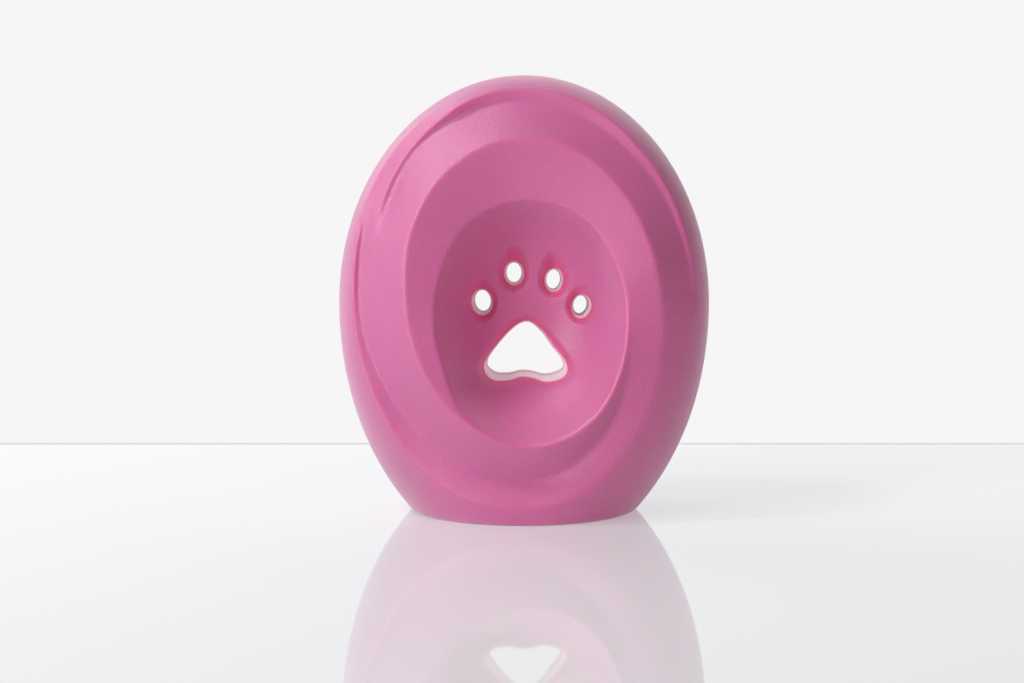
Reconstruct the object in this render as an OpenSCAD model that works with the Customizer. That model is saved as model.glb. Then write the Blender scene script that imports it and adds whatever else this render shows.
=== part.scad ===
// Paw washer cup: a hollow moulded egg that stands on a round foot. A paw-shaped window goes
// right through it, a spiral ridge winds round the window, and a wash chamber in the foot is
// closed from below by a quarter-turn lid.
// Millimetres. +Z is up, the front faces -Y, and the origin is the middle of the foot.

/* [Body] */
// Width of the body at its seam
body_w = 110; // [106:1:124]
// Height of the body above the table
body_h = 129.4; // [124:0.2:146]
// Depth of the body, front to back, at its deepest
body_d = 72; // [70:1:80]
// Wall thickness of the two shells
wall = 2; // [1.6:0.1:2.4]
// Thickness of the floor inside the foot
floor_t = 2.5; // [2:0.1:3]

/* [Paw window] */
// Depth of the bowl's middle, measured forward from the seam
bowl_floor = 8; // [7:0.5:10]
// How much each hole widens per millimetre of depth
hole_draft = 0.05; // [0.03:0.01:0.08]
// Wall thickness round each hole
hole_wall = 1.6; // [1.2:0.1:2]

/* [Mouth and lid] */
// Diameter of the mouth, which is the bore of its collar
mouth_d = 44; // [42:0.5:45]
// Height of the collar's top above the table
collar_top = 12; // [12:0.5:13]
// Gap all round between the lid and the collar
lid_gap = 0.3; // [0.25:0.05:0.4]
// Number of bayonet lugs on the lid
lug_count = 3; // [2:1:4]
// Angle that the lid turns from locked to free
lid_turn = 60; // [50:1:60]

/* [Bristles] */
// Number of bristles in one row
bristles_per_row = 16; // [10:1:20]
// Number of rows
bristle_rows = 2; // [1:1:2]
// Length of a bristle
bristle_len = 8; // [5:0.5:10]
// Diameter of a bristle at its root
bristle_d = 2.4; // [1.6:0.1:2.6]

/* [Hidden] */

pink = [0.79, 0.43, 0.61];
clear_white = [0.88, 0.88, 0.90];
silicone = [0.90, 0.72, 0.80];
seal_grey = [0.36, 0.36, 0.38];

// The shell is drawn at its basic size and then stretched to the sizes above.
BASIC = [110, 72, 129.4];
stretch = [body_w / BASIC[0], body_d / BASIC[1], body_h / BASIC[2]];

// Outline at the seam: two half-ellipses that share the widest level.
half_w = BASIC[0] / 2;
wide_z = 62;
upper_b = BASIC[2] - wide_z;
lower_b = 78;

// Side shape: full depth up to shoulder_z, then a quarter superellipse over the top.
half_d = BASIC[1] / 2;
shoulder_z = 72;
foot_tuck = 3.7;
foot_tuck_h = 30;
squareness = 2.5;

// The relief is measured from the bowl's middle, as radius and depth in front of the seam,
// at every eighth of a turn. It runs clockwise from spiral_start, seen from the front.
bowl_x = 2;
bowl_z = 60;
spiral_start = 10;
eighth = 45;
tail_angle = 145;
tip_angle = 245;
drop_angle = 300;

// The ridge winds from beside the bowl to the outer edge of the body.
ridge = [[27, 29], [30, 32], [37, 34.5], [36, 33], [35, 30.5], [42, 28], [50.5, 26],
         [44, 27.5], [38, 30], [42, 31.5], [54, 33], [54.5, 34], [51, 34], [57.5, 34], [66, 34]];
// The valley lies at the foot of the ridge's outer slope.
valley = [[27.6, 28.6], [33, 28.4], [45.7, 29], [46.8, 26.6], [48.5, 20.8], [55.2, 16.6]];
// The bowl's rim, counter-clockwise from spiral_start to where the ridge meets it.
rim = [[27, 29], [30.7, 25.6], [33.3, 23.6], [29.5, 26.3], [27.7, 29.5], [33.5, 32.4], [37, 34.5]];
// The narrow lip along the top and right: its valley, then the radius of its crest.
lip_valley = [[47.4, 18.5], [54, 19.7], [60.8, 17.8], [54.6, 17.2]];
lip_crest = [48.6, 56.8, 64.4, 56.5];
// Where the ridge's outer slope runs out into the side wall, from drop_angle round to the lip.
side_edge = [53, 50.5, 48.6];
side_edge_step = 35;

// The least spacing of the rim and the ridge, the flat on the outer ridge, and the least strip
// between the last crease and the outline.
fold_gap = 1.2;
ridge_flat = 1.5;
edge_strip = 1.5;
// How steeply the bowl's side rises to its rim.
bowl_power = 3;
// Where the slope from the rim to the valley starts, as a share of its width.
rim_share = 0.1;
// The relief's slopes need more than the wall's thickness in depth, by this factor.
slope_wall = 1.4;

// Rings of the shell's grid: inside the bowl, then outside the last crease.
bowl_rings = [0.22, 0.42, 0.6, 0.76, 0.9];
side_rings = [0.35, 0.65, 0.86, 0.97];
column_step = 5;

// Toe holes: [x, z, width, height, tilt] where the two shells meet.
toes = [[-12.3, 62.7, 5, 6.6, 8], [-3, 71.1, 4.8, 6.2, 2], [8.7, 69.1, 4.4, 6.1, -6],
        [16.7, 61.5, 4.3, 5.7, -12]];
// Corners of the pad hole: [x, z, radius].
pad = [[0.6, 52.4, 4.1], [-7.4, 44, 3.6], [8, 43.9, 3.6]];

// Collar, lid and seal.
mouth_r = mouth_d / 2;
neck_r = mouth_r + 3.4;
collar_flange_r = neck_r + 2;
collar_flange_t = 2.2;
gasket_t = 0.8;
neck_bottom = 0.8;
neck_gap = 0.1;
lug_reach = 1.6;
lug_z = 4.4;
lug_t = 1.8;
lug_w = 22;
track_play = 0.4;
track_r = mouth_r + lug_reach + lid_gap;
way_in_play = 3;
way_in_extra = 0.2;
lid_bottom = 1.4;
lid_t = 2.4;
lid_r = mouth_r - lid_gap;
skirt_t = 2.6;
lid_top = 10.6;
seal_z = 8.8;
seal_section_r = 0.9;
seal_gap = 0.06;
groove_gap = 0.05;
seal_r = mouth_r - seal_gap - seal_section_r;
grip_w = 5;
grip_pocket_r = 15;
grip_pocket_depth = 5;
grip_wall = 1.6;

// Bristle sleeve.
sleeve_t = 1.6;
sleeve_r = mouth_r - 0.5;
sleeve_flange_r = mouth_r + 2.4;
sleeve_flange_t = 1.4;
sleeve_top = 26;
first_row_z = 16;
bristle_pitch = 5;
bristle_root = 1;
bristle_tip = 0.6;

// How far a cut runs past the face it opens, and the thickness of a thin slice.
past = 1;
slack = 0.01;
$fn = 96;
small_fn = 24;
seal_fn = 32;

// A smooth value between the entries of a list, where u counts entries from 0.
function along(list, u) =
    let (last = len(list) - 1, i = max(0, min(floor(u), last - 1)), t = u - i,
         a = list[max(i - 1, 0)], b = list[i], c = list[i + 1], d = list[min(i + 2, last)])
    b + (c - a) * t / 2 + (2 * a - 5 * b + 4 * c - d) * t * t / 2
      + (3 * b - a - 3 * c + d) * t * t * t / 2;

function ridge_at(turned) = along(ridge, turned / eighth);
function turned_at(angle) = 360 + spiral_start - angle;

// Half-width of the outline at height z.
function outline_w(z) =
    let (t = (z - wide_z) / (z > wide_z ? upper_b : lower_b)) half_w * sqrt(max(0, 1 - t * t));

// Half-depth of the body at height z.
function side_d(z) =
    let (tuck = foot_tuck * pow(max(0, 1 - z / foot_tuck_h), 2),
         t = max(0, z - shoulder_z) / (BASIC[2] - shoulder_z))
    (half_d - tuck) * pow(max(0, 1 - pow(min(t, 1), squareness)), 1 / squareness);

// Depth of the plain body, without its relief, inset by a wall.
function plain_depth(x, z, inset) =
    let (power = 2 + (squareness - 2) * max(0, min(1, z / foot_tuck_h)),
         w = outline_w(z) - inset, d = side_d(z) - inset,
         t = w <= 0 ? 1 : min(1, abs(x) / w))
    max(0, d) * pow(1 - pow(t, power), 1 / power);

// Distance from the bowl's middle to the outline, in the given direction.
function outline_r(angle, inset) =
    let (up = bowl_z - wide_z, c = cos(angle), s = sin(angle), w = half_w - inset,
         b = (half_w * s > -up ? upper_b : lower_b) - inset,
         p = c * c / (w * w) + s * s / (b * b),
         q = bowl_x * c / (w * w) + up * s / (b * b),
         k = pow(bowl_x / w, 2) + pow(up / b, 2) - 1)
    (sqrt(q * q - p * k) - q) / p;

// Depth of the plain body at a place given from the bowl's middle.
function plain_at(angle, r) = plain_depth(bowl_x + r * cos(angle), bowl_z + r * sin(angle), 0);

// A crease that is no deeper than the plain body.
function on_body(angle, mark) = [mark[0], min(mark[1], plain_at(angle, mark[0]))];

// The five creases that a direction crosses, from the bowl outward, as [radius, depth].
function creases(angle) =
    let (turned = turned_at(angle), u = (angle - spiral_start) / eighth, edge = along(rim, u),
         inner = ridge_at(turned), outer = on_body(angle, ridge_at(turned + 360)),
         dip = along(valley, turned / eighth), lip = along(lip_valley, u),
         fold = [max(inner[0], edge[0] + fold_gap), inner[1]],
         crest = on_body(angle, [along(lip_crest, u), half_d]),
         drop = on_body(angle, [along(side_edge, (angle - drop_angle) / side_edge_step), half_d]))
    angle < tail_angle ? [edge, (edge + fold) / 2, fold, lip, crest]
    : angle < tip_angle ? [edge, (edge + fold) / 2, fold, dip, outer]
    : angle < drop_angle ? [inner, inner * (1 - rim_share) + dip * rim_share, dip, outer,
                            on_body(angle, outer + [ridge_flat, half_d])]
    : [inner, dip, outer, (outer + drop) / 2, drop];

// Radii of all rings in one direction.
function ring_radii(angle, marks, inset) =
    let (edge = outline_r(angle, inset), first = marks[0][0], last = min(marks[4][0], edge - edge_strip))
    concat([for (f = bowl_rings) f * first], [for (m = marks) min(m[0], edge - edge_strip)],
           [for (f = side_rings) last + f * (edge - last)], [edge]);

function bowl_depth(r, edge) = bowl_floor + (edge[1] - bowl_floor) * pow(r / edge[0], bowl_power);

// One point of the grid. A wall's inset also pushes the relief back, more than the wall because
// most of it slopes.
function surface_point(angle, r, marks, inset) =
    let (x = bowl_x + r * cos(angle), z = bowl_z + r * sin(angle),
         relief = r < marks[0][0] ? bowl_depth(r, marks[0]) : lookup(r, marks),
         depth = min(relief - slope_wall * inset, plain_depth(x, z, inset)))
    [x * stretch[0], -max(0, depth) * stretch[1], z * stretch[2]];

// The last ring lies on the seam. A void's seam lies past it, so that the void opens cleanly.
function seam_y(inset) = inset > 0 ? 1 : 0;

// The front half of the body as one closed solid, inset by a wall or not at all.
module half_body(inset) {
    angles = [for (a = [spiral_start : column_step : spiral_start + 360 - column_step]) a];
    marks = [for (a = angles) creases(a)];
    columns = [for (i = [0 : len(angles) - 1]) ring_radii(angles[i], marks[i], inset)];
    ring_n = len(columns[0]);
    n = len(angles);
    front = [for (i = [0 : n - 1], k = [0 : ring_n - 1])
        let (p = surface_point(angles[i], columns[i][k], marks[i], inset))
        k < ring_n - 1 ? p : [p[0], seam_y(inset), p[2]]];
    middle = [bowl_x * stretch[0], -(bowl_floor - slope_wall * inset) * stretch[1], bowl_z * stretch[2]];
    seam_middle = [middle[0], seam_y(inset), middle[2]];
    points = concat(front, [middle, seam_middle]);
    function at(i, k) = (i % n) * ring_n + k;
    faces = concat(
        [for (i = [0 : n - 1], k = [0 : ring_n - 2]) [at(i, k), at(i + 1, k), at(i, k + 1)]],
        [for (i = [0 : n - 1], k = [0 : ring_n - 2]) [at(i, k + 1), at(i + 1, k), at(i + 1, k + 1)]],
        [for (i = [0 : n - 1]) [n * ring_n, at(i + 1, 0), at(i, 0)]],
        [for (i = [0 : n - 1]) [n * ring_n + 1, at(i, ring_n - 1), at(i + 1, ring_n - 1)]]);
    polyhedron(points, faces);
}

// A thin upright slice of a hole's outline, grown by some margin, at a depth in front of the seam.
module toe_slice(toe, depth, grow) {
    translate([toe[0], -depth, toe[1]]) rotate([90, toe[4], 0])
        linear_extrude(slack) scale([toe[2] / 2 + grow, toe[3] / 2 + grow]) circle(1, $fn = small_fn);
}

module toe_hole(toe, grow, reach) {
    hull() {
        toe_slice(toe, -slack, grow);
        toe_slice(toe, reach, grow + reach * hole_draft);
    }
}

module pad_hole(grow, reach) {
    hull()
        for (corner = pad, depth = [-slack, reach])
            translate([corner[0], -depth, corner[1]]) rotate([90, 0, 0])
                cylinder(r = corner[2] + grow + depth * hole_draft, h = slack, $fn = small_fn);
}

// The five holes of the paw, or with some growth the walls round them.
module paw(grow) {
    scale(stretch) {
        for (toe = toes) toe_hole(toe, grow, half_d);
        pad_hole(grow, half_d);
    }
}

module above(height) {
    translate([-body_w, -body_d, height]) cube([2 * body_w, 2 * body_d, 2 * body_h]);
}

// The hollow inside a half, which leaves the walls round the holes and the foot's floor.
module half_void() {
    difference() {
        intersection() {
            half_body(wall);
            above(floor_t);
        }
        paw(hole_wall);
    }
}

module half_shell() {
    difference() {
        half_body(0);
        half_void();
        paw(0);
        translate([0, 0, -body_h]) cylinder(r = neck_r + neck_gap, h = body_h + 2 * floor_t);
        mirror([0, 0, 1]) above(0);
    }
}

module front_shell() {
    color(pink) half_shell();
}

module rear_shell() {
    color(pink) mirror([0, 1, 0]) half_shell();
}

// A sector of a ring round +Z, centred on +X.
module arc_block(inner, outer, height, width) {
    rotate([0, 0, -width / 2]) rotate_extrude(angle = width)
        translate([inner, 0]) square([outer - inner, height]);
}

// The bayonet track of one lug: a way in from below, then a level run to the locked place.
module lug_track() {
    way_in_w = lug_w + 2 * way_in_play;
    way_in_top = lug_z + lug_t + track_play + way_in_extra;
    run_w = lid_turn + lug_w + way_in_play;
    rotate([0, 0, -lid_turn]) translate([0, 0, -past])
        arc_block(mouth_r - past, track_r + way_in_extra, way_in_top + past, way_in_w);
    rotate([0, 0, -lid_turn / 2]) translate([0, 0, lug_z - track_play])
        arc_block(mouth_r - past, track_r, lug_t + 2 * track_play, run_w);
}

module mouth_collar() {
    flange_z = floor_t + gasket_t;
    color(clear_white) difference() {
        union() {
            translate([0, 0, neck_bottom]) cylinder(r = neck_r, h = collar_top - neck_bottom);
            translate([0, 0, flange_z]) cylinder(r = collar_flange_r, h = collar_flange_t);
        }
        translate([0, 0, -past]) cylinder(r = mouth_r, h = collar_top + 2 * past);
        for (i = [0 : lug_count - 1]) rotate([0, 0, i * 360 / lug_count]) lug_track();
    }
}

module collar_gasket() {
    color(seal_grey) translate([0, 0, floor_t]) difference() {
        cylinder(r = collar_flange_r, h = gasket_t);
        translate([0, 0, -past]) cylinder(r = neck_r, h = gasket_t + 2 * past);
    }
}

module bristle_sleeve() {
    color(silicone) {
        difference() {
            union() {
                translate([0, 0, collar_top]) cylinder(r = sleeve_flange_r, h = sleeve_flange_t);
                translate([0, 0, collar_top]) cylinder(r = sleeve_r, h = sleeve_top - collar_top);
            }
            translate([0, 0, -past]) cylinder(r = sleeve_r - sleeve_t, h = sleeve_top + 2 * past);
        }
        for (row = [0 : bristle_rows - 1], i = [0 : bristles_per_row - 1])
            rotate([0, 0, (i + row / 2) * 360 / bristles_per_row])
                translate([sleeve_r - bristle_root, 0, first_row_z + bristle_pitch * row])
                    rotate([0, -90, 0])
                        cylinder(d1 = bristle_d, d2 = bristle_d * bristle_tip, h = bristle_len,
                                 $fn = small_fn);
    }
}

module base_lid() {
    inner_r = lid_r - skirt_t;
    color(pink) difference() {
        union() {
            translate([0, 0, lid_bottom]) cylinder(r = lid_r, h = lid_top - lid_bottom);
            for (i = [0 : lug_count - 1]) rotate([0, 0, i * 360 / lug_count])
                translate([0, 0, lug_z]) arc_block(lid_r - past, mouth_r + lug_reach, lug_t, lug_w);
        }
        difference() {
            translate([0, 0, lid_bottom + lid_t]) cylinder(r = inner_r, h = lid_top);
            translate([0, 0, lid_bottom])
                cylinder(r = grip_pocket_r + grip_wall, h = grip_pocket_depth + grip_wall);
        }
        difference() {
            translate([0, 0, lid_bottom - past])
                cylinder(r = grip_pocket_r, h = grip_pocket_depth + past);
            translate([-grip_pocket_r - past, -grip_w / 2, lid_bottom])
                cube([2 * (grip_pocket_r + past), grip_w, grip_pocket_depth]);
        }
        rotate_extrude() translate([seal_r, seal_z]) circle(seal_section_r + groove_gap, $fn = seal_fn);
    }
}

module lid_seal() {
    color(seal_grey) rotate_extrude() translate([seal_r, seal_z]) circle(seal_section_r, $fn = seal_fn);
}

front_shell();
rear_shell();
mouth_collar();
collar_gasket();
bristle_sleeve();
base_lid();
lid_seal();
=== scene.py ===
"""Looks of the paw washer cup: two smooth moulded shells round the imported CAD, and its materials.

The shells' shape is worked out in millimetres, with x to the right, z up from the table, and a
depth in front of the seam, which is -Y for the front shell and +Y for the rear one.
"""
import math
from collections import namedtuple

import bmesh
import bpy
import numpy as np
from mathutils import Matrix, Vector
from mathutils.geometry import delaunay_2d_cdt


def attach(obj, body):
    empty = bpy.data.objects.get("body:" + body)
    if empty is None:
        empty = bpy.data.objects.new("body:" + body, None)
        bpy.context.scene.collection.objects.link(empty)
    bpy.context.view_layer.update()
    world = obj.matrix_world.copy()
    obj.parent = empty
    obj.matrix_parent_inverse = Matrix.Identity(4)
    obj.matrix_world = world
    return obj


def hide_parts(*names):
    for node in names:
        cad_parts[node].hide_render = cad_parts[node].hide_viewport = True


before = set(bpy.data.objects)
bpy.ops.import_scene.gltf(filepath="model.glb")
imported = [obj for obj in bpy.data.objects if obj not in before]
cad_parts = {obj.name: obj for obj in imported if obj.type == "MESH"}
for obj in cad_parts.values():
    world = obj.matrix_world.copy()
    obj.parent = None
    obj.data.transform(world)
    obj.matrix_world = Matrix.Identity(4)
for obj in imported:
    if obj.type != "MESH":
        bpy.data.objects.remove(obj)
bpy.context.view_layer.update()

MM = 0.001
TINY = 1e-9

# ---------------------------------------------------------------- the body's design, as in the CAD
BODY_W, BODY_D, BODY_H = 110.0, 72.0, 129.4
HALF_W, HALF_D = BODY_W / 2, BODY_D / 2
# The outline is widest at WIDE_Z, and two half-ellipses as tall as UPPER_B and LOWER_B make it.
WIDE_Z = 62.0
UPPER_B = BODY_H - WIDE_Z
LOWER_B = 78.0
# Seen from the side, the body draws in by FOOT_TUCK at the foot and rounds over above SHOULDER_Z.
SHOULDER_Z = 72.0
FOOT_TUCK, FOOT_TUCK_H = 3.7, 30.0
# Seen from above, it is an ellipse at the foot, and a squarer curve from FOOT_BLEND_H up.
FOOT_BLEND_H = 42.0
FOOT_SECTION, SQUARENESS = 2.0, 2.5
FOOT_ROUND = 1.3
MOUTH_HOLE_R, MOUTH_RIM_H = 25.5, 2.5

# The bowl's middle, the depth of its floor, and the power of its curve up to the rim.
BOWL_X, BOWL_Z = 2.0, 60.0
BOWL_FLOOR, BOWL_POWER = 7.5, 2.9

# Directions round the bowl, in degrees anticlockwise from the right. The tables below begin at
# START, or at TIP where the spiral's inner end is, with an entry for every STEP. Up to OUTER_END
# the lip is the outermost ridge, and from DROP_ANGLE on the side wall's edge is. The last three are
# where the lip's right end, its left end and the valley outside its left end fade.
START = 10.0
STEP = 22.5
TIP = 257.5
OUTER_END = 112.0
DROP_ANGLE = 300.0
DROP_FADE = (325.0, 368.0)
LIP_FADE = (138.0, 157.0)
VALLEY_FADE = (138.0, 166.0)

# The relief's creases as [radius from the bowl's middle, depth in front of the seam]. RIM and the
# lip run anticlockwise from START, the other two clockwise: SPIRAL from TIP, VALLEY from START.
RIM = [[27.1, 29], [28, 27.4], [30.6, 25.6], [32.5, 24.2], [33.2, 23.6], [32.2, 24.6], [29.6, 26.3],
       [28, 27.9], [27.9, 29.5], [29.4, 30.9], [33.7, 32.4], [36.4, 34.1], [36, 34.5], [33.6, 33.5],
       [29.9, 32], [27.5, 30.3]]
SPIRAL = [[36.4, 34.1], [35.5, 33], [34.8, 31.8], [35, 30.5], [37.1, 29.2], [42.1, 28],
          [47.3, 26.8], [50.6, 26], [49.1, 26.5], [44, 27.5], [39.5, 28.8], [37.7, 30],
          [38.4, 30.8], [42.1, 31.5], [47.6, 32.3], [53.8, 33], [55, 33.6], [54.3, 34],
          [51.7, 34.1], [51.1, 34], [52.6, 34], [57.9, 34], [63.5, 34], [67.1, 34], [70, 34]]
VALLEY = [[27.2, 29], [28.8, 29.7], [32.6, 29.9], [38.6, 28.8], [45.7, 28.8], [47.4, 28.4],
          [46.6, 26.6], [46.7, 23.7], [48.3, 20.9], [51.2, 18.7], [56, 16.7], [60.5, 14.6],
          [64, 11]]
LIP_VALLEY = [[47, 20.2], [49.3, 20.9], [53.5, 21.3], [58.7, 19.4], [61.4, 17.9], [58.6, 18.9],
              [51.8, 19.4], [46, 22]]
LIP_CREST = [[47.9, 25], [50.9, 25], [56.3, 25], [62.6, 23], [64.8, 21], [59.9, 19.6], [53, 20],
             [46.3, 21.7]]
# Radius of the side wall's edge from DROP_ANGLE on, and the width of the notch inside it.
SIDE_EDGE = [53, 50.5, 47.9]
SIDE_EDGE_STEP = 35.0
NOTCH_W = 0.9
# The least spacing of two marks, and of the marks outside the lip.
LEAST_GAP, FOLD_GAP = 0.1, 0.5
# HIDDEN is how far outside the body a mark lies where it isn't to show, and PAST_SLOPE is the rise
# of the relief beyond its last mark, where the body's own curve takes over.
HIDDEN = 3.0
PAST_SLOPE = 0.5

# The relief is tabled over directions and radii, then softened along both.
ANGLE_STEP, RADIUS_STEP, RADIUS_MAX = 0.5, 0.1, 84.0
CREASE_SOFTNESS = 0.42
TURN_SOFTNESS = 1.6
BODY_BLEND = 0.9

# Toe holes, with their tilt in degrees. They are sized at the seam, and tip is where the pointed
# hollow round each one ends.
Toe = namedtuple("Toe", "x z width height tilt tip_x tip_z")
TOES = [Toe(-12.3, 62.7, 5.0, 6.6, 8, -13.9, 71.4), Toe(-3.0, 71.1, 4.8, 6.2, 2, -3.2, 80.4),
        Toe(8.7, 69.1, 4.4, 6.1, -6, 7.8, 78.4), Toe(16.7, 61.5, 4.3, 5.7, -12, 17.0, 68.9)]
# The pad hole's outline at the seam, as points of a smooth closed curve.
PAD = [(0.7, 56.5), (4.6, 54.2), (8.4, 49.2), (11.6, 44.8), (11.2, 41.7), (6.6, 40.2), (2.6, 41.1),
       (-1.0, 41.4), (-4.6, 40.6), (-8.8, 40.9), (-11.1, 43.6), (-9.6, 47.4), (-3.9, 54.0)]
TOE_POINTS, PAD_POINTS, CURVE_SAMPLES = 60, 190, 2000
# Each hole widens by HOLE_DRAFT for each millimetre of its wall, which is about USUAL_WALL deep.
HOLE_DRAFT, LIP_ROUND = 0.05, 0.5
USUAL_WALL = 9.0

# The hollows round the holes: how far they reach past the hole, how deep they are, and the powers
# that shape their edge and their pointed end. Their painted shade, a deeper pink, is full where a
# hollow is as deep as the last value below.
TOE_MARGIN, TOE_RECESS = 2.2, 4.2
TOE_EDGE_POWER, TOE_TIP_SOFTER, TOE_POINT_POWER = 0.7, 0.6, 1.6
TOE_ROLL_W, TOE_ROLL = 2.2, 1.4
PAD_MARGIN, PAD_RECESS = 3.2, 3.6
HOLLOW_SHADE_FULL = 1.9

# The parting line: a groove round the outline, and a thin flash inside each hole.
SEAM_GROOVE_W, SEAM_GROOVE = 0.22, 0.16
# The flash is painted darker red as painted shade of its groove; the last value is how much of that
# shade reaches its foot.
HOLE_FLASH, FLASH_T, FLASH_SHADE_FOOT = 0.16, 0.14, 0.3

# Where rows of points lie: as shares of a hole's wall, of its rounded lip and of the foot's
# underside, and in millimetres out over the bowl.
WALL_ROWS = (0.1, 0.25, 0.4, 0.55, 0.7, 0.85, 1)
LIP_ROWS = (0.2, 0.4, 0.6, 0.8, 1)
SKIRT_ROWS = (0.15, 0.4, 0.8)
FOOT_ROWS = (0.5, 1)

# The outer surface is a grid of columns and rings round the bowl's middle. A column that ends lower
# than FOOT_REACH ends at the foot, and HALVINGS is how many steps find a column's end.
COLUMNS, RINGS, RING_EASE = 480, 124, 2.2
FOOT_REACH = 0.02
HALVINGS = 50

# A patch fills the middle out to PATCH_R. Its lattice keeps PATCH_CLEAR from the holes and
# RING_CLEAR from the grid, and the hollows end within HOLLOWS_R.
PATCH_R, PATCH_STEP = 25.6, 0.5
PATCH_CLEAR, RING_CLEAR = 0.3, 0.35
HOLLOWS_R = 25.1
SAME_PLACE = 1e-5


# ---------------------------------------------------------------- small mathematics
def along(values, u):
    """A smooth curve through a list of values or rows, where u counts entries from 0."""
    v = np.asarray(values, float)
    u = np.asarray(u, float)
    last = len(v) - 1
    i = np.clip(np.floor(u).astype(int), 0, last - 1)
    t = u - i
    if v.ndim > 1:
        t = t[..., None]
    a, b, c, d = v[np.maximum(i - 1, 0)], v[i], v[i + 1], v[np.minimum(i + 2, last)]
    return (b + (c - a) * t / 2 + (2 * a - 5 * b + 4 * c - d) * t ** 2 / 2
            + (3 * b - a - 3 * c + d) * t ** 3 / 2)


def smooth_step(low, high, value):
    """0 below low, 1 above high, and a smooth rise between them."""
    t = np.clip((value - low) / (high - low), 0, 1)
    return t * t * (3 - 2 * t)


def mix(a, b, share):
    """The value that is the given share of the way from a to b."""
    return a + (b - a) * share


def soft_min(a, b, width):
    """The lower of two depths, with a rounded corner about as wide as given."""
    t = np.clip(0.5 + 0.5 * (b - a) / width, 0, 1)
    return b * (1 - t) + a * t - width * t * (1 - t)


def blur(table, sigma, axis, wrap):
    """Gaussian blur of a table along one axis, with sigma in cells."""
    reach = int(math.ceil(3 * sigma))
    kernel = np.exp(-0.5 * (np.arange(-reach, reach + 1) / sigma) ** 2)
    kernel /= kernel.sum()
    pad = [(0, 0), (0, 0)]
    pad[axis] = (reach, reach)
    wide = np.pad(table, pad, mode="wrap" if wrap else "edge")
    out = np.zeros_like(table)
    for k, weight in enumerate(kernel):
        cut = [slice(None), slice(None)]
        cut[axis] = slice(k, k + table.shape[axis])
        out += weight * wide[tuple(cut)]
    return out


# ---------------------------------------------------------------- the body's depth
def outline_w(z):
    """Half-width of the outline at height z."""
    t = (z - WIDE_Z) / np.where(z > WIDE_Z, UPPER_B, LOWER_B)
    return HALF_W * np.sqrt(np.maximum(0, 1 - t * t))


def side_d(z):
    """Half-depth of the body at height z."""
    tuck = FOOT_TUCK * np.maximum(0, 1 - z / FOOT_TUCK_H) ** 2
    t = np.clip((z - SHOULDER_Z) / (BODY_H - SHOULDER_Z), 0, 1)
    return (HALF_D - tuck) * np.maximum(0, 1 - t ** SQUARENESS) ** (1 / SQUARENESS)


def foot_inset(z):
    """How far the rounded edge of the foot stands in from the walls at height z."""
    t = np.clip(1 - z / FOOT_ROUND, 0, 1)
    return FOOT_ROUND * (1 - np.sqrt(1 - t * t))


def plain_depth(x, z):
    """Depth of the body without its relief."""
    power = mix(FOOT_SECTION, SQUARENESS, smooth_step(0, FOOT_BLEND_H, z))
    w = np.maximum(outline_w(z) - foot_inset(z), TINY)
    d = side_d(z) - foot_inset(z)
    t = np.clip(np.abs(x) / w, 0, 1)
    return np.maximum(0, d) * (1 - t ** power) ** (1 / power)


def plain_at(angle, r):
    """Depth of the body without its relief, at a radius in one direction."""
    a = math.radians(angle)
    return float(plain_depth(BOWL_X + r * np.cos(a), BOWL_Z + r * np.sin(a)))


def on_body(angle, mark):
    """A mark that is no deeper than the plain body."""
    return [mark[0], min(mark[1], plain_at(angle, mark[0]))]


def chord(start, end, r):
    """Depth at radius r on the straight line between two marks."""
    return mix(start[1], end[1], (r - start[0]) / max(end[0] - start[0], LEAST_GAP))


def rim_at(angle):
    """The bowl's rim, a closed curve."""
    ring = RIM[-1:] + RIM + RIM[:3]
    return list(along(ring, (angle - START) % 360 / STEP + 1))


def upper_marks(angle, inner, dip, outer):
    """Creases between the spiral's inner end and the lip, from the bowl outward."""
    rim = rim_at(angle)
    fold = [max(inner[0], rim[0] + LEAST_GAP), inner[1]]
    if angle > VALLEY_FADE[1]:
        return [rim, fold, dip, outer]
    u = (angle - START) / STEP
    lip = float(smooth_step(*LIP_FADE, angle))
    dent = list(along(LIP_VALLEY, u))
    crest = on_body(angle, along(LIP_CREST, u))
    if angle < OUTER_END:
        return [rim, fold, dent, crest]
    dip = [max(dip[0], crest[0] + FOLD_GAP), dip[1]]
    outer = on_body(angle, [max(outer[0], dip[0] + FOLD_GAP), HALF_D])
    dip[1] = mix(chord(crest, outer, dip[0]), dip[1], float(smooth_step(*VALLEY_FADE, angle)))
    dent[1] = mix(dent[1], chord(fold, dip, dent[0]), lip)
    crest[1] = mix(crest[1], chord(fold, dip, crest[0]), lip)
    return [rim, fold, dent, crest, dip, outer]


def relief_marks(angle):
    """Creases that a direction crosses, from the bowl outward, as [radius, depth]."""
    turned = 360 + START - angle
    outer = on_body(angle, along(SPIRAL, (360 + TIP - angle) / STEP))
    dip = list(along(VALLEY, turned / STEP))
    if angle < TIP:
        return upper_marks(angle, on_body(angle, along(SPIRAL, (TIP - angle) / STEP)), dip, outer)
    inner = rim_at(angle)
    if angle < DROP_ANGLE:
        return [inner, dip, outer]
    edge = float(along(SIDE_EDGE, (angle - DROP_ANGLE) / SIDE_EDGE_STEP))
    shown = float(smooth_step(*DROP_FADE, angle))
    drop = [edge, plain_at(angle, edge) + HIDDEN * (1 - shown)]
    notch = [edge - NOTCH_W, 0]
    notch[1] = mix(plain_at(angle, notch[0]) + HIDDEN, LIP_VALLEY[0][1], shown)
    return [inner, dip, outer, notch, drop]


def relief_column(angle, radii):
    """Depths of the bowl and the relief along one direction."""
    marks = np.array(relief_marks(angle), float)
    rim_r, rim_h = marks[0]
    bowl = BOWL_FLOOR + (rim_h - BOWL_FLOOR) * (radii / rim_r) ** BOWL_POWER
    outside = np.interp(radii, marks[:, 0], marks[:, 1])
    past = np.maximum(0, radii - marks[-1, 0])
    return np.where(radii < rim_r, bowl, outside) + PAST_SLOPE * past


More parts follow.
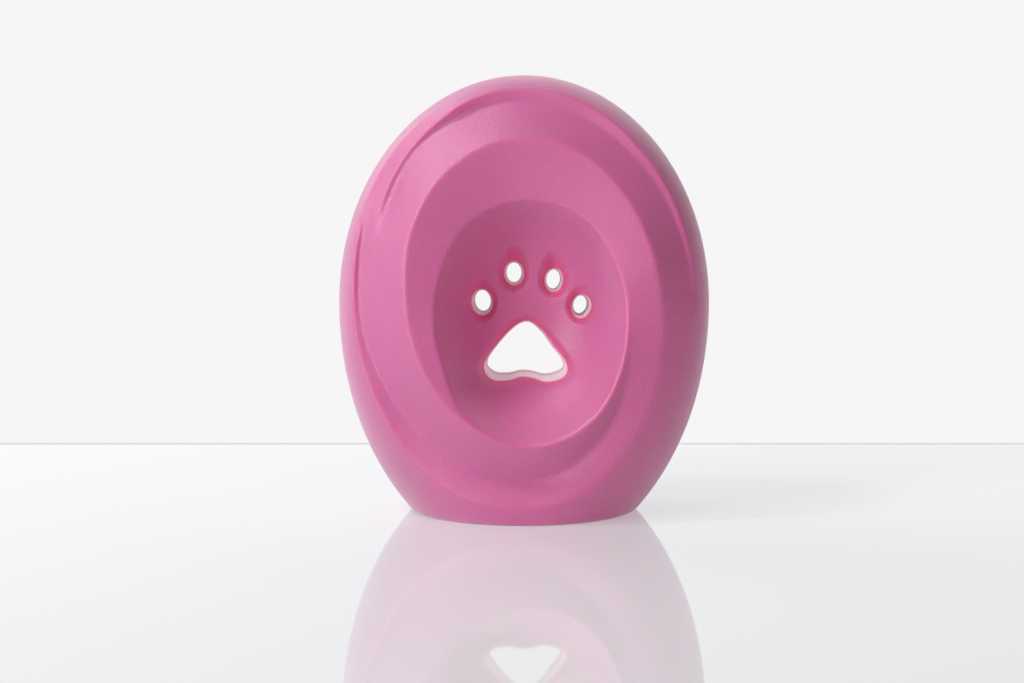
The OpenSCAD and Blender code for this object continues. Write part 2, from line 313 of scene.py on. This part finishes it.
def make_relief():
    """Depth of the relief over directions and radii, with its creases rounded."""
    angles = START + np.arange(0, 360, ANGLE_STEP)
    radii = np.arange(0, RADIUS_MAX, RADIUS_STEP)
    rows = [relief_column(angle, radii) for angle in angles]
    table = blur(np.array(rows), TURN_SOFTNESS, 0, True)
    return blur(table, CREASE_SOFTNESS / RADIUS_STEP, 1, False)


RELIEF = make_relief()


def relief_depth(x, z):
    """Depth of the relief at a place, read from its table."""
    r = np.hypot(x - BOWL_X, z - BOWL_Z) / RADIUS_STEP
    a = (np.degrees(np.arctan2(z - BOWL_Z, x - BOWL_X)) - START) % 360 / ANGLE_STEP
    n_a, n_r = RELIEF.shape
    i, k = np.floor(a).astype(int), np.minimum(np.floor(r).astype(int), n_r - 2)
    s, t = a - i, r - k
    i, j = i % n_a, (i + 1) % n_a
    return ((1 - s) * ((1 - t) * RELIEF[i, k] + t * RELIEF[i, k + 1])
            + s * ((1 - t) * RELIEF[j, k] + t * RELIEF[j, k + 1]))


def closed_curve(points, count):
    """Evenly spaced points of a smooth closed curve, with its outward normals."""
    p = np.asarray(points, float)
    n = len(p)
    ring = np.concatenate([p[-1:], p, p[:3]])
    fine = along(ring, 1 + np.linspace(0, n, CURVE_SAMPLES, endpoint=False))
    steps = np.linalg.norm(np.roll(fine, -1, 0) - fine, axis=1)
    length = np.concatenate([[0], np.cumsum(steps)])
    closed = np.concatenate([fine, fine[:1]])
    at = np.linspace(0, length[-1], count, endpoint=False)
    curve = np.stack([np.interp(at, length, closed[:, c]) for c in (0, 1)], 1)
    tangent = np.roll(curve, -1, 0) - np.roll(curve, 1, 0)
    normal = np.stack([tangent[:, 1], -tangent[:, 0]], 1)
    normal /= np.linalg.norm(normal, axis=1)[:, None]
    area = np.sum(curve[:, 0] * np.roll(curve[:, 1], -1) - np.roll(curve[:, 0], -1) * curve[:, 1])
    if area < 0:
        normal = -normal
    return curve, normal


def toe_outline(toe):
    """Points round a toe hole at the seam, anticlockwise, with outward normals."""
    a = np.linspace(0, 2 * math.pi, TOE_POINTS, endpoint=False)
    c, s = math.cos(math.radians(toe.tilt)), math.sin(math.radians(toe.tilt))
    local = np.stack([toe.width / 2 * np.cos(a), toe.height / 2 * np.sin(a)], 1)
    normal = np.stack([np.cos(a) / toe.width, np.sin(a) / toe.height], 1)
    normal /= np.linalg.norm(normal, axis=1)[:, None]
    turn = np.array([[c, s], [-s, c]])
    return local @ turn + (toe.x, toe.z), normal @ turn


HOLES = [toe_outline(toe) for toe in TOES] + [closed_curve(PAD, PAD_POINTS)]


def toe_recess(toe, x, z):
    """Depth of the pointed hollow round a toe hole, which rises to its tip."""
    rise = np.array([toe.tip_x - toe.x, toe.tip_z - toe.z])
    length = float(np.hypot(*rise))
    up = rise / length
    v = (x - toe.x) * up[0] + (z - toe.z) * up[1]
    u = (x - toe.x) * up[1] - (z - toe.z) * up[0]
    half = toe.width / 2 + TOE_MARGIN
    low = toe.height / 2 + TOE_MARGIN
    below = (v / low) ** 2
    above = 1 - np.maximum(0, 1 - (np.maximum(v, 0) / length) ** 2) ** TOE_POINT_POWER
    level = (u / half) ** 2 + np.where(v < 0, below, above)
    tip = np.clip(v / length, 0, 1)
    return TOE_RECESS * np.clip(1 - level, 0, 1) ** (TOE_EDGE_POWER + TOE_TIP_SOFTER * tip)


def pad_distance(x, z):
    """How far a place is outside the pad hole, negative inside it."""
    curve, normal = HOLES[-1]
    gap = np.stack([x, z], 1)[:, None, :] - curve[None, :, :]
    near = np.argmin((gap ** 2).sum(2), axis=1)
    return (gap[np.arange(len(near)), near] * normal[near]).sum(1)


def toe_distance(toe, x, z):
    """Roughly how far a place is outside a toe hole."""
    c, s = math.cos(math.radians(toe.tilt)), math.sin(math.radians(toe.tilt))
    u = (x - toe.x) * c - (z - toe.z) * s
    v = (x - toe.x) * s + (z - toe.z) * c
    scaled = np.hypot(u / (toe.width / 2), v / (toe.height / 2))
    return np.hypot(u, v) * (1 - 1 / np.maximum(scaled, TINY))


def rounding(distance, width, depth):
    """How far a surface rolls down toward a hole's edge."""
    return depth * np.clip(1 - np.maximum(distance, 0) / width, 0, 1) ** 2


def hollows(x, z):
    """How far the surface is sunk round the holes."""
    sunk = rounding(pad_distance(x, z), PAD_MARGIN, PAD_RECESS)
    for toe in TOES:
        sunk = np.maximum(sunk, toe_recess(toe, x, z)
                          + rounding(toe_distance(toe, x, z), TOE_ROLL_W, TOE_ROLL))
    return sunk


def body_depth(x, z):
    """Depth of the outer surface, with the hollows round the holes but not the holes."""
    depth = soft_min(relief_depth(x, z), plain_depth(x, z), BODY_BLEND)
    near = np.hypot(x - BOWL_X, z - BOWL_Z) < HOLLOWS_R
    if np.any(near):
        depth[near] -= hollows(x[near], z[near])
    return np.maximum(depth, 0)


# ---------------------------------------------------------------- meshes of the shells
class Builder:
    """Gathers points and faces, then makes one mesh object."""

    def __init__(self):
        self.points, self.faces, self.paint = [], [], []

    def add(self, points, paint=(0, 0, 0)):
        """Adds points, with painted shade and light for each: shade in a hollow, light on a hole's
        wall, shade on its flash.
        """
        first = len(self.points)
        self.points.extend(map(tuple, points))
        paint = np.broadcast_to(np.asarray(paint, float), (len(points), 3))
        self.paint.extend(map(tuple, paint))
        return first

    def strip(self, lower, upper, closed):
        """Quads between two rows of the same number of point indices."""
        n = len(lower)
        for i in range(n if closed else n - 1):
            j = (i + 1) % n
            self.faces.append((lower[i], lower[j], upper[j], upper[i]))


def column_end(angle):
    """Radius where a direction leaves the body, at the seam's outline or at the foot."""
    c, s = math.cos(math.radians(angle)), math.sin(math.radians(angle))
    low, high = PATCH_R, 2.0 * RADIUS_MAX
    for _ in range(HALVINGS):
        mid = (low + high) / 2
        x, z = BOWL_X + mid * c, BOWL_Z + mid * s
        inside = 0 <= z < BODY_H and abs(x) < float(outline_w(z) - foot_inset(z))
        if inside:
            low = mid
        else:
            high = mid
    return low


def outer_columns():
    """Points over the outer surface as [column, ring, (x, depth, z)].

    Also says which columns end at the foot. The others end in the parting line's groove.
    """
    angles = 360.0 * np.arange(COLUMNS) / COLUMNS
    ends = np.array([column_end(angle) for angle in angles])
    share = 1 - (1 - np.linspace(0, 1, RINGS)) ** RING_EASE
    r = PATCH_R + (ends[:, None] - PATCH_R) * share
    a = np.radians(angles)[:, None]
    x, z = BOWL_X + r * np.cos(a), BOWL_Z + r * np.sin(a)
    z = np.maximum(z, 0)
    depth = body_depth(x, z)
    on_foot = z[:, -1] < FOOT_REACH
    seam = ~on_foot
    depth[seam, -1] = 0
    depth[seam, -2] = SEAM_GROOVE_W
    x[seam, -1] -= SEAM_GROOVE * np.cos(a[seam, 0])
    z[seam, -1] -= SEAM_GROOVE * np.sin(a[seam, 0])
    return np.stack([x, depth, z], 2), on_foot


def hole_rows(curve, normal):
    """Rows of points from the seam, up a hole's flared wall, over its lip and a little way out.

    Each row is (places, depths, painted shade and light).
    """
    edge = body_depth(*(curve + normal * (HOLE_DRAFT * USUAL_WALL + LIP_ROUND)).T)
    wall_top = edge - LIP_ROUND
    flash_rows = ((0, HOLE_FLASH, 1), (FLASH_T, HOLE_FLASH, 1), (2 * FLASH_T, 0, FLASH_SHADE_FOOT))
    rows = []
    for depth, inset, flash_shade in flash_rows:
        rows.append((curve - normal * inset, np.full(len(curve), depth), (0, 1, flash_shade)))
    for part in WALL_ROWS:
        depth = wall_top * part
        rows.append((curve + normal * (HOLE_DRAFT * depth)[:, None], depth, (0, 1, 0)))
    # The lip takes the hollows' painted shade, and the walls' painted light fades out over it.
    for turn in LIP_ROWS:
        a = turn * math.pi / 2
        out = HOLE_DRAFT * wall_top + LIP_ROUND * (1 - math.cos(a))
        depth = wall_top + LIP_ROUND * math.sin(a)
        rows.append((curve + normal * out[:, None], depth, (1, 1 - turn, 0)))
    for more in SKIRT_ROWS:
        out = HOLE_DRAFT * wall_top + LIP_ROUND + more
        place = curve + normal * out[:, None]
        rows.append((place, body_depth(*place.T), hollow_shade_paint(place)))
    return rows


def hollow_shade_paint(places):
    """How much painted shade each place gets from lying in a hollow."""
    share = np.clip(hollows(*places.T) / HOLLOW_SHADE_FULL, 0, 1)
    return np.stack([share, 0 * share, 0 * share], 1)


def patch_points(loops):
    """A lattice of places inside the patch's circle and clear of the holes' loops."""
    step = PATCH_STEP
    span = np.arange(-PATCH_R, PATCH_R + step, step)
    rise = np.arange(-PATCH_R, PATCH_R + step, step * math.sqrt(3) / 2)
    places = np.array([(x + (k % 2) * step / 2, z) for k, z in enumerate(rise) for x in span])
    keep = np.hypot(*places.T) < PATCH_R - RING_CLEAR
    places = places[keep] + (BOWL_X, BOWL_Z)
    for loop in loops:
        near = np.min(np.linalg.norm(places[:, None] - loop[None], axis=2), axis=1)
        places = places[(near > PATCH_CLEAR) & ~points_inside(places, loop)]
    return places


def points_inside(places, loop):
    """Which places are inside a closed loop."""
    x, z = places[:, 0, None], places[:, 1, None]
    ax, az = loop[:, 0], loop[:, 1]
    bx, bz = np.roll(ax, -1), np.roll(az, -1)
    crosses = (az > z) != (bz > z)
    at = ax + (z - az) * (bx - ax) / np.where(bz == az, TINY, bz - az)
    return (np.sum(crosses & (x < at), axis=1) % 2) == 1


def add_hole(build, curve, normal):
    """One hole's wall and lip. Returns the places and the point indices of its outermost row."""
    rows = hole_rows(curve, normal)
    named = []
    for place, depth, paint in rows:
        first = build.add(np.stack([place[:, 0], depth, place[:, 1]], 1), paint)
        named.append(range(first, first + len(curve)))
    for low, high in zip(named, named[1:]):
        build.strip(low, high, True)
    return rows[-1][0], named[-1]


def add_patch(build, ring):
    """Fills the bowl's middle, from the grid's first ring to the holes."""
    outlines = [(np.array([(build.points[i][0], build.points[i][2]) for i in ring]), ring)]
    outlines += [add_hole(build, curve, normal) for curve, normal in HOLES]
    verts, owner, edges = [], [], []
    for outline, names in outlines:
        start, count = len(verts), len(outline)
        edges += [(start + i, start + (i + 1) % count) for i in range(count)]
        verts += [Vector(place) for place in outline]
        owner += list(names)
    loops = [outline for outline, _ in outlines[1:]]
    places = patch_points(loops)
    first = build.add(np.stack([places[:, 0], body_depth(*places.T), places[:, 1]], 1),
                      hollow_shade_paint(places))
    owner += range(first, first + len(places))
    verts += [Vector(place) for place in places]
    out, _, faces, origin, _, _ = delaunay_2d_cdt(verts, edges, [], 0, SAME_PLACE)
    centres = np.array([np.mean([out[i][:] for i in f], axis=0) for f in faces])
    keep = np.hypot(centres[:, 0] - BOWL_X, centres[:, 1] - BOWL_Z) < PATCH_R
    for loop in loops:
        keep &= ~points_inside(centres, loop)
    for face, wanted in zip(faces, keep):
        if wanted:
            build.faces.append(tuple(owner[origin[i][0]] for i in face))


def make_shell(name, side):
    """One outer half of the body; side is -1 for the front and 1 for the rear."""
    grid, on_foot = outer_columns()
    build = Builder()
    first = build.add(grid.reshape(-1, 3))
    rings = [[first + i * RINGS + k for i in range(COLUMNS)] for k in range(RINGS)]
    for low, high in zip(rings, rings[1:]):
        build.strip(low, high, True)
    add_patch(build, rings[0])
    add_foot(build, grid, on_foot, rings[-1])
    points = np.array(build.points)
    points = np.stack([points[:, 0], side * points[:, 1], points[:, 2]], 1) * MM
    mesh = bpy.data.meshes.new(name)
    mesh.from_pydata(points.tolist(), [], build.faces)
    # Painted shade and light for each point: shade in the hollows, light on the hole walls, shade
    # on the flash.
    shade_and_light_zones = mesh.attributes.new("shade_and_light_zones", "FLOAT_COLOR", "POINT")
    colours = np.concatenate([np.array(build.paint), np.ones((len(build.paint), 1))], 1)
    shade_and_light_zones.data.foreach_set("color", colours.astype(np.float32).ravel())
    mesh.validate()
    piece = bpy.data.objects.new(name, mesh)
    bpy.context.collection.objects.link(piece)
    face_outward(piece)
    for polygon in mesh.polygons:
        polygon.use_smooth = True
    return piece


def add_foot(build, grid, on_foot, last_ring):
    """The flat underside, from the foot's edge in to the mouth's hole and as far as the seam."""
    near = on_foot | np.roll(on_foot, 1) | np.roll(on_foot, -1)
    chosen = [i for i in range(COLUMNS) if near[i]]
    rows = [[last_ring[i] for i in chosen]]
    edge = grid[chosen, -1]
    direction = np.arctan2(edge[:, 1], edge[:, 0])
    rim = np.stack([MOUTH_HOLE_R * np.cos(direction), MOUTH_HOLE_R * np.sin(direction),
                    np.zeros(len(chosen))], 1)
    for part in FOOT_ROWS:
        first = build.add(edge * (1 - part) + rim * part)
        rows.append([first + i for i in range(len(chosen))])
    rim[:, 2] = MOUTH_RIM_H
    first = build.add(rim)
    rows.append([first + i for i in range(len(chosen))])
    for low, high in zip(rows, rows[1:]):
        build.strip(low, high, False)


def face_outward(piece):
    """Turns all faces to one side, outward."""
    mesh = bmesh.new()
    mesh.from_mesh(piece.data)
    bmesh.ops.recalc_face_normals(mesh, faces=mesh.faces)
    mesh.faces.ensure_lookup_table()
    total = sum(f.normal.y * f.calc_area() for f in mesh.faces)
    centre = sum(v.co.y for v in mesh.verts)
    if total * centre < 0:
        bmesh.ops.reverse_faces(mesh, faces=mesh.faces)
    mesh.to_mesh(piece.data)
    mesh.free()


# ---------------------------------------------------------------- materials
PINK_LOW = (0.57, 0.118, 0.320, 1)
PINK_HIGH = (0.61, 0.134, 0.350, 1)
# Painted shade: a deeper pink laid in the hollows round the holes, for the shade and warm
# inter-reflection there.
HOLLOW_SHADE_PINK = (0.77, 0.042, 0.25, 1)
# Painted light: the pale hole walls, standing in for light through the holes and the bright
# background's reflection.
WALL_LIGHT_PINK = (0.98, 0.85, 0.86, 1)
# Painted shade: the darker red of the flash round each hole, where its groove is shaded.
FLASH_SHADE_RED = (0.70, 0.08, 0.10, 1)
# How much of each painted shade and light is laid on at most.
HOLLOW_SHADE_MOST, WALL_LIGHT_MOST, FLASH_SHADE_MOST = 0.75, 0.9, 1.0
PINK_ROUGH = (0.40, 0.48)

NATURAL_WHITE = (0.80, 0.80, 0.82, 1)
SILICONE_PINK = (0.82, 0.55, 0.66, 1)
RUBBER_GREY = (0.10, 0.10, 0.11, 1)
DARKER, ROUGH_SPREAD = 0.93, 0.05

# Noise is spread over this part of its range. Its scales are in cells per metre.
NOISE_LOW, NOISE_HIGH = 0.3, 0.7
TINT_SCALE, GLOSS_SCALE = 35, 90
MOULD_TINT_SCALE, MOULD_GLOSS_SCALE = 60, 150
# Each grain's scale, detail, roughness, and its bump's strength and distance in metres.
COARSE_GRAIN = (420, 2, 0.5, 0.15, 0.0004)
FINE_GRAIN = (1500, 3, 0.6, 0.7, 0.0003)
MOULD_GRAIN = (900, 3, 0.5, 0.15, 0.0003)


class Shader:
    """A short way to write a node material."""

    def __init__(self, name):
        self.material = bpy.data.materials.new(name)
        self.material.use_nodes = True
        self.tree = self.material.node_tree
        self.main = self.tree.nodes["Principled BSDF"]

    def node(self, kind, **values):
        """A new node, with each value set as a property or else on the input of that name."""
        made = self.tree.nodes.new(kind)
        for key, value in values.items():
            if hasattr(made, key):
                setattr(made, key, value)
            else:
                made.inputs[key.replace("_", " ")].default_value = value
        return made

    def link(self, source, target):
        """Links an output to an input."""
        self.tree.links.new(source, target)

    def set(self, **values):
        """Sets values on the shader's own inputs."""
        for key, value in values.items():
            self.main.inputs[key.replace("_", " ")].default_value = value

    def noise(self, scale, detail, rough=0.5):
        """Noise fixed to the piece, from 0 to 1."""
        made = self.node("ShaderNodeTexNoise", Scale=scale, Detail=detail, Roughness=rough)
        self.link(self.node("ShaderNodeTexCoord").outputs["Object"], made.inputs["Vector"])
        return made.outputs["Fac"]

    def tint(self, scale, low, high):
        """A colour that drifts between two colours with noise."""
        made = self.node("ShaderNodeValToRGB")
        stops = ((NOISE_LOW, low), (NOISE_HIGH, high))
        for element, (at, colour) in zip(made.color_ramp.elements, stops):
            element.position = at
            element.color = colour
        self.link(self.noise(scale, 3), made.inputs["Fac"])
        return made.outputs["Color"]

    def drift(self, source, low, high):
        """A value that drifts between two values with noise."""
        made = self.node("ShaderNodeMapRange", From_Min=NOISE_LOW, From_Max=NOISE_HIGH,
                         To_Min=low, To_Max=high)
        self.link(source, made.inputs["Value"])
        return made.outputs["Result"]

    def blend(self, share, below, above, most):
        """Mixes a plain colour over another by a share, up to the most given."""
        scaled = self.node("ShaderNodeMath", operation="MULTIPLY")
        self.link(share, scaled.inputs[0])
        scaled.inputs[1].default_value = most
        made = self.node("ShaderNodeMix", data_type="RGBA")
        self.link(scaled.outputs[0], made.inputs[0])
        self.link(below, made.inputs[6])
        made.inputs[7].default_value = above
        return made.outputs[2]

    def bump(self, grain, below=None):
        """A grained surface, on top of another one if given."""
        scale, detail, rough, strength, distance = grain
        made = self.node("ShaderNodeBump", Strength=strength, Distance=distance)
        self.link(self.noise(scale, detail, rough), made.inputs["Height"])
        if below is not None:
            self.link(below, made.inputs["Normal"])
        return made.outputs["Normal"]


def pink_plastic(name, with_shade_and_light):
    """Satin moulded plastic with a fine sandblasted grain.

    The second argument adds the shells' painted shade in the hollows, painted light on their pale
    hole walls and painted shade on their red flash.
    """
    s = Shader(name)
    colour = s.tint(TINT_SCALE, PINK_LOW, PINK_HIGH)
    if with_shade_and_light:
        shade_and_light_zones = s.node("ShaderNodeAttribute", attribute_name="shade_and_light_zones")
        split = s.node("ShaderNodeSeparateColor")
        s.link(shade_and_light_zones.outputs["Color"], split.inputs["Color"])
        # Painted shade in the hollows, painted light on the hole walls, then painted shade on the
        # flash.
        colour = s.blend(split.outputs["Red"], colour, HOLLOW_SHADE_PINK, HOLLOW_SHADE_MOST)
        colour = s.blend(split.outputs["Green"], colour, WALL_LIGHT_PINK, WALL_LIGHT_MOST)
        colour = s.blend(split.outputs["Blue"], colour, FLASH_SHADE_RED, FLASH_SHADE_MOST)
    s.link(colour, s.main.inputs["Base Color"])
    s.link(s.drift(s.noise(GLOSS_SCALE, 3), *PINK_ROUGH), s.main.inputs["Roughness"])
    s.link(s.bump(FINE_GRAIN, s.bump(COARSE_GRAIN)), s.main.inputs["Normal"])
    s.set(Subsurface_Weight=0.7, Subsurface_Scale=0.004, Subsurface_Radius=(1.0, 0.12, 0.25))
    s.set(Sheen_Weight=0.45, Sheen_Roughness=0.5, Specular_IOR_Level=1.0, IOR=1.5)
    return s.material


def moulded(name, colour, rough):
    """Plain moulded plastic or rubber with a fine grain."""
    s = Shader(name)
    dark = tuple(c * DARKER for c in colour[:3]) + (1,)
    s.link(s.tint(MOULD_TINT_SCALE, dark, colour), s.main.inputs["Base Color"])
    gloss = s.drift(s.noise(MOULD_GLOSS_SCALE, 2), rough - ROUGH_SPREAD, rough + ROUGH_SPREAD)
    s.link(gloss, s.main.inputs["Roughness"])
    s.link(s.bump(MOULD_GRAIN), s.main.inputs["Normal"])
    return s.material


def dress(node, material):
    """Gives a CAD node's mesh a material."""
    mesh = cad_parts[node].data
    mesh.materials.clear()
    mesh.materials.append(material)


# ---------------------------------------------------------------- stage, lights and camera
# The camera's place is in millimetres, and it looks down by CAMERA_PITCH degrees. The stage's sizes
# and the lights' places are in metres.
CAMERA_PLACE = (-3.6, -594.5, 101.5)
CAMERA_PITCH = 4.92
LENS, SENSOR = 70.0, 36.0
CLIP_START = 0.01

# The glass table's half-width and how far it reaches to the front and the back.
TABLE_SIZE = (1.6, 0.9, 0.1385)
TABLE_COLOUR, TABLE_GLOW_COLOUR = (0.42, 0.44, 0.445, 1), (0.90, 0.93, 0.94, 1)
TABLE_ROUGH, TABLE_GLOW = 0.03, 0.325
TABLE_EDGE_W, TABLE_EDGE_GLOW = 0.0045, 0.72
# The backdrop's left and right ends, its distance, and its lower and upper ends.
BACKDROP_SIZE = (-1.6, 1.0, 0.9, -1.0, 1.6)
GLOW_COLOUR, BACKDROP_GLOW = (1, 0.985, 0.995, 1), 0.93
WORLD_COLOUR, WORLD_GLOW = (1, 0.98, 1, 1), 0.14

LIGHT_TARGET = (0, 0, 0.065)
WHITE, WARM = (1.0, 1.0, 1.0), (1.0, 0.57, 0.66)
# Each light's name, place, width and height, power in watts, colour, and whether it is reflected.
LIGHTS = (("key", (-0.70, -0.64, 0.44), (0.35, 0.5), 5.8, WHITE, True),
          ("top", (-0.46, -0.20, 0.85), (0.15, 0.15), 2.8, WHITE, True),
          ("rim", (-0.60, 0.50, 0.60), (0.5, 0.5), 1.6, WHITE, True),
          ("fill", (0.28, -0.95, 0.06), (0.6, 0.6), 4.4, WARM, False))


def make_camera():
    """The camera at the photograph's angle."""
    data = bpy.data.cameras.new("camera")
    data.lens, data.sensor_width = LENS, SENSOR
    data.clip_start = CLIP_START
    camera = bpy.data.objects.new("camera", data)
    camera.location = Vector(CAMERA_PLACE) * MM
    camera.rotation_euler = (math.radians(90 - CAMERA_PITCH), 0, 0)
    bpy.context.collection.objects.link(camera)
    bpy.context.scene.camera = camera


def add_light(name, place, size, power, colour, reflected):
    """A soft rectangular light that faces the target and isn't seen itself."""
    data = bpy.data.lights.new(name, "AREA")
    data.shape = "RECTANGLE"
    data.size, data.size_y = size
    data.energy = power
    data.color = colour
    lamp = bpy.data.objects.new(name, data)
    lamp.location = place
    toward = Vector(LIGHT_TARGET) - Vector(place)
    lamp.rotation_euler = toward.to_track_quat("-Z", "Y").to_euler()
    lamp.visible_camera = False
    lamp.visible_glossy = reflected
    bpy.context.collection.objects.link(lamp)


def flat_piece(name, corners, material):
    """A flat stage piece between four corners."""
    mesh = bpy.data.meshes.new(name)
    mesh.from_pydata(corners, [], [(0, 1, 2, 3)])
    mesh.materials.append(material)
    piece = bpy.data.objects.new(name, mesh)
    bpy.context.collection.objects.link(piece)


def glowing(name, strength):
    """A nearly white material that shines evenly."""
    material = bpy.data.materials.new(name)
    material.use_nodes = True
    tree = material.node_tree
    tree.nodes.clear()
    glow = tree.nodes.new("ShaderNodeEmission")
    glow.inputs["Color"].default_value = GLOW_COLOUR
    glow.inputs["Strength"].default_value = strength
    out = tree.nodes.new("ShaderNodeOutputMaterial")
    tree.links.new(glow.outputs["Emission"], out.inputs["Surface"])
    return material


def make_stage():
    """The glossy table with its pale back edge, the backdrop and the surroundings."""
    table = Shader("pale_table")
    table.set(Base_Color=TABLE_COLOUR, Roughness=TABLE_ROUGH, Specular_IOR_Level=0.5,
              Emission_Color=TABLE_GLOW_COLOUR, Emission_Strength=TABLE_GLOW)
    w, near, far = TABLE_SIZE
    flat_piece("table", [(-w, -near, 0), (w, -near, 0), (w, far, 0), (-w, far, 0)], table.material)
    edge = far + TABLE_EDGE_W
    flat_piece("table_edge", [(-w, far, 0), (w, far, 0), (w, edge, 0), (-w, edge, 0)],
               glowing("glass_edge", TABLE_EDGE_GLOW))
    left, right, y, low, high = BACKDROP_SIZE
    corners = [(left, y, low), (right, y, low), (right, y, high), (left, y, high)]
    flat_piece("backdrop", corners, glowing("backdrop", BACKDROP_GLOW))
    world = bpy.data.worlds.new("world")
    bpy.context.scene.world = world
    world.use_nodes = True
    sky = world.node_tree.nodes["Background"]
    sky.inputs["Color"].default_value = WORLD_COLOUR
    sky.inputs["Strength"].default_value = WORLD_GLOW
    bpy.context.scene.view_settings.view_transform = "Standard"


# ---------------------------------------------------------------- the model
pink = pink_plastic("pink_shell", True)
for shell_name, shell_side, node_name in (("front_body", -1, "front_shell"),
                                          ("rear_body", 1, "rear_shell")):
    shell = make_shell(shell_name, shell_side)
    shell.data.materials.append(pink)
    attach(shell, "body")
    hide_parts(node_name)

dress("base_lid", pink_plastic("pink_lid", False))
dress("mouth_collar", moulded("natural_plastic", NATURAL_WHITE, 0.4))
dress("bristle_sleeve", moulded("silicone", SILICONE_PINK, 0.55))
grey_rubber = moulded("grey_rubber", RUBBER_GREY, 0.6)
dress("collar_gasket", grey_rubber)
dress("lid_seal", grey_rubber)

make_stage()
for light in LIGHTS:
    add_light(*light)
make_camera()
